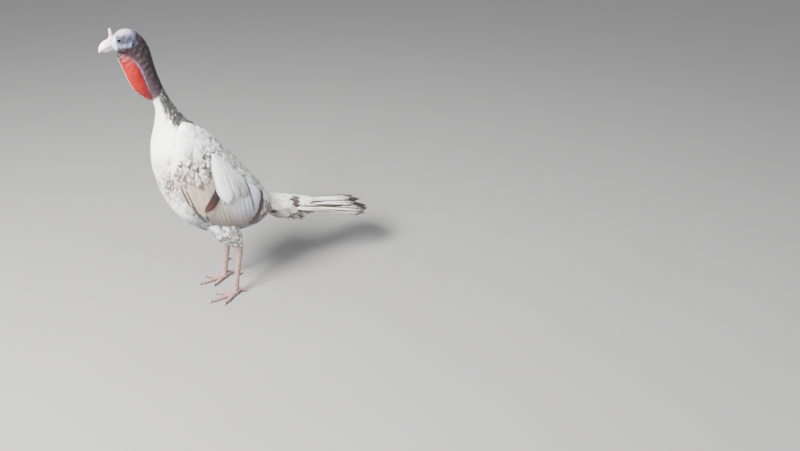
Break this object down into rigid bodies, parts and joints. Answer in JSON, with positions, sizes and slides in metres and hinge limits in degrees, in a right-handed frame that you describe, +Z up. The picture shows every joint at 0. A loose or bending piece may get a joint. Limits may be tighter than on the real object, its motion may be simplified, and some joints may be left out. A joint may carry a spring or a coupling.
{
  "type": "domestic turkey",
  "caption": "Standing domestic turkey, pale with a tan-mottled wing, neck stretched up, wings folded and tail held closed behind.",
  "frame": {"origin": "on the floor, at the middle of the bird's bounding box seen from above", "axes": "+Z up; -Y the way the bird faces, so its tail points to +Y; +X its left side"},
  "size_m": [0.2636, 0.8696, 0.9481],
  "materials": {
    "plumage": "matte",
    "mottled": "matte",
    "neck_down": "matte",
    "bare_skin": "satin",
    "red_skin": "satin",
    "horn": "satin",
    "shank": "satin",
    "eye": "gloss"
  },
  "bodies": {
    "root": {"head": "bare_skin", "neck_upper": "bare_skin", "neck_lower": "neck_down", "trunk": "plumage", "throat_wattle": "red_skin", "snood": "bare_skin", "bill_upper": "horn", "bill_lower": "horn", "tail_feathers": "plumage", "tail_coverts_upper": "mottled", "tail_coverts_under": "plumage", "eye_left": "eye", "wing_left_coverts": "mottled", "wing_left_secondaries": "plumage", "wing_left_primaries": "plumage", "thigh_left": "plumage", "leg_left": "shank", "claw_left_inner": "horn", "claw_left_middle": "horn", "claw_left_outer": "horn", "claw_left_hind": "horn", "spur_left": "horn", "eye_right": "eye", "wing_right_coverts": "mottled", "wing_right_secondaries": "plumage", "wing_right_primaries": "plumage", "thigh_right": "plumage", "leg_right": "shank", "claw_right_inner": "horn", "claw_right_middle": "horn", "claw_right_outer": "horn", "claw_right_hind": "horn", "spur_right": "horn"}
  },
  "joints": []
}
